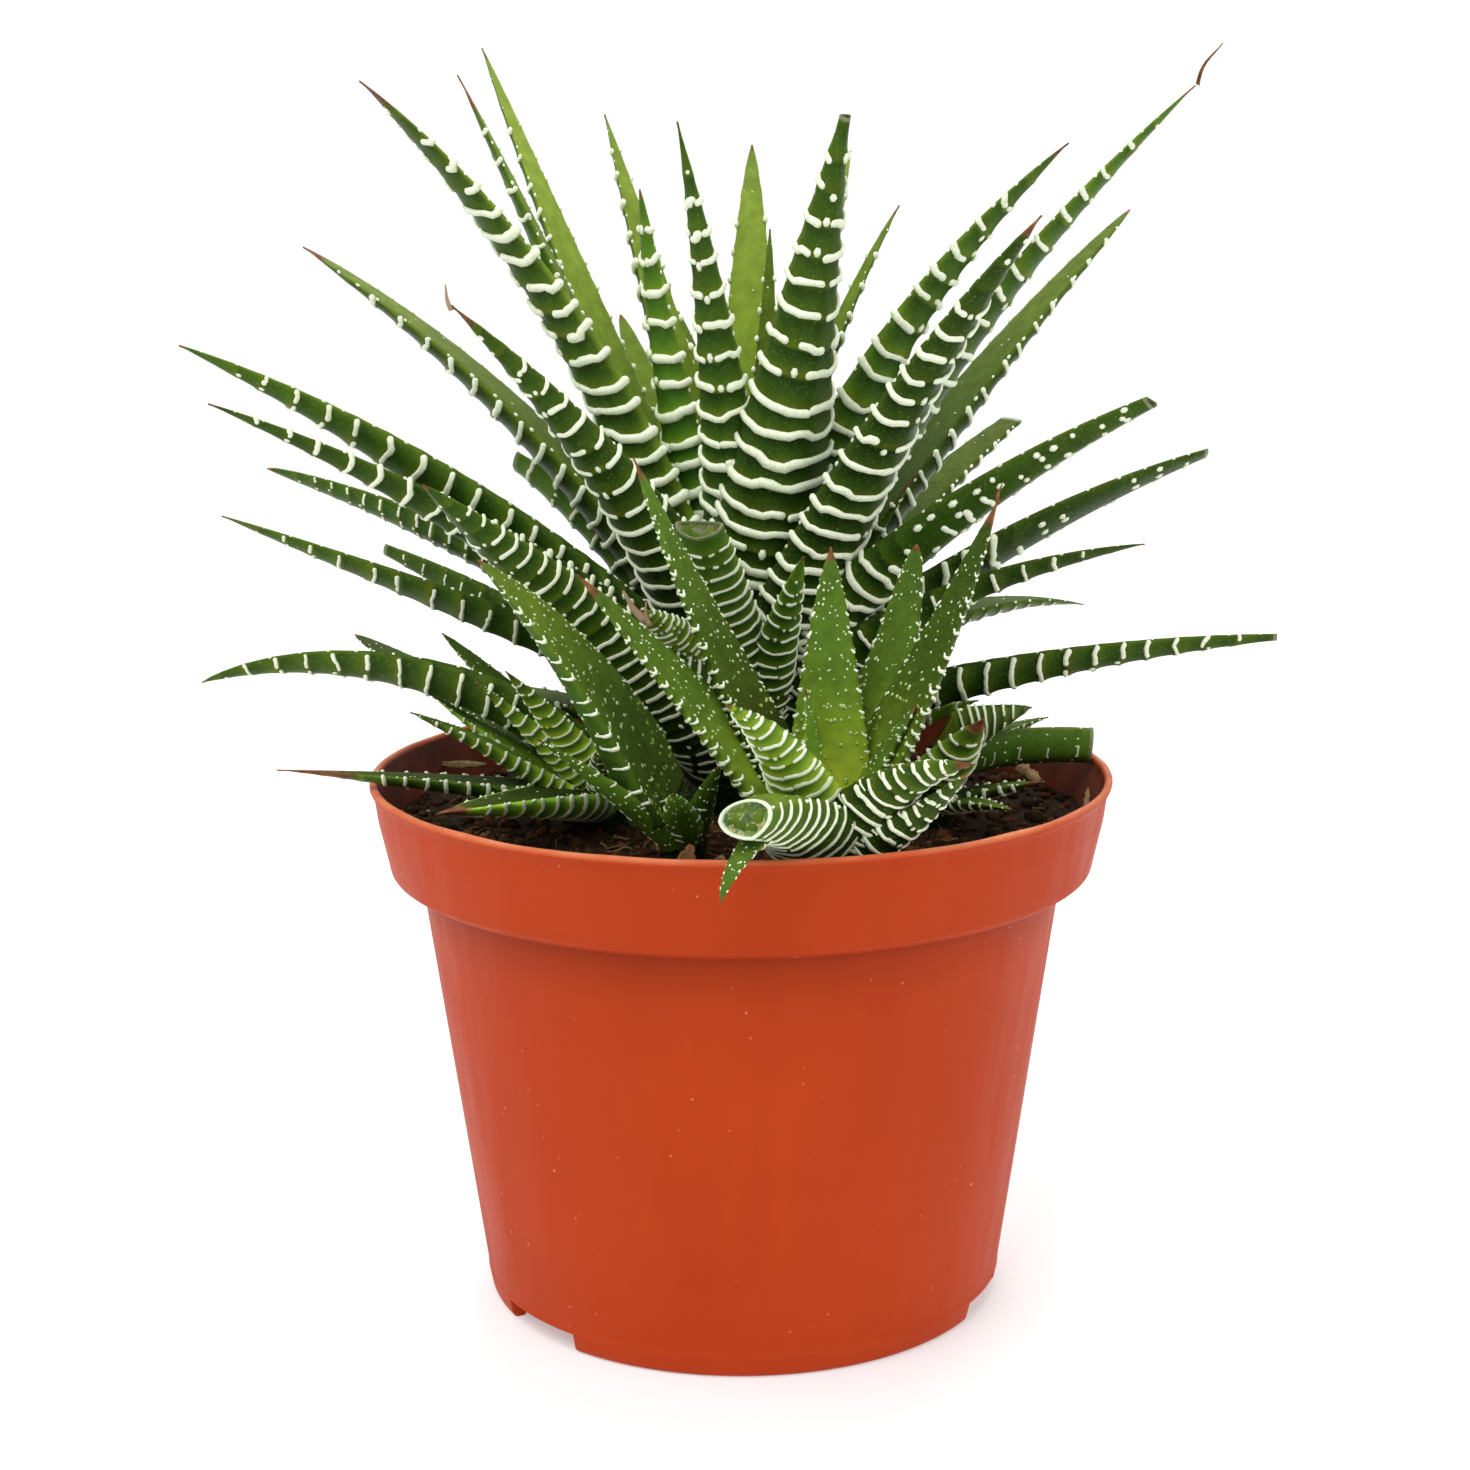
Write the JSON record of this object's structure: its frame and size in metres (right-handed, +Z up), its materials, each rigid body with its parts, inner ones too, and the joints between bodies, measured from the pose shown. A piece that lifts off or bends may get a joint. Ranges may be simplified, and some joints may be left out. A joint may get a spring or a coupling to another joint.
{
  "type": "potted zebra haworthia",
  "caption": "Potted rosette succulent: dark pointed leaves with broad raised white bands, with offsets round its foot, in a plain plastic nursery pot.",
  "frame": {"origin": "on the table, under the centre of the whole plant and of the pot", "axes": "+Z up, -Y to the front of the pot as it was pictured"},
  "size_m": [0.1643, 0.1327, 0.192],
  "materials": {
    "pot_plastic": "satin",
    "peat": null,
    "dark_leaf": null,
    "bright_leaf": null
  },
  "bodies": {
    "root": {"pot": "pot_plastic", "soil": "peat", "main_rosette": "dark_leaf", "offset_front": "bright_leaf", "offset_left": "bright_leaf", "offset_far_left": "bright_leaf", "offset_right": "bright_leaf"}
  },
  "joints": []
}
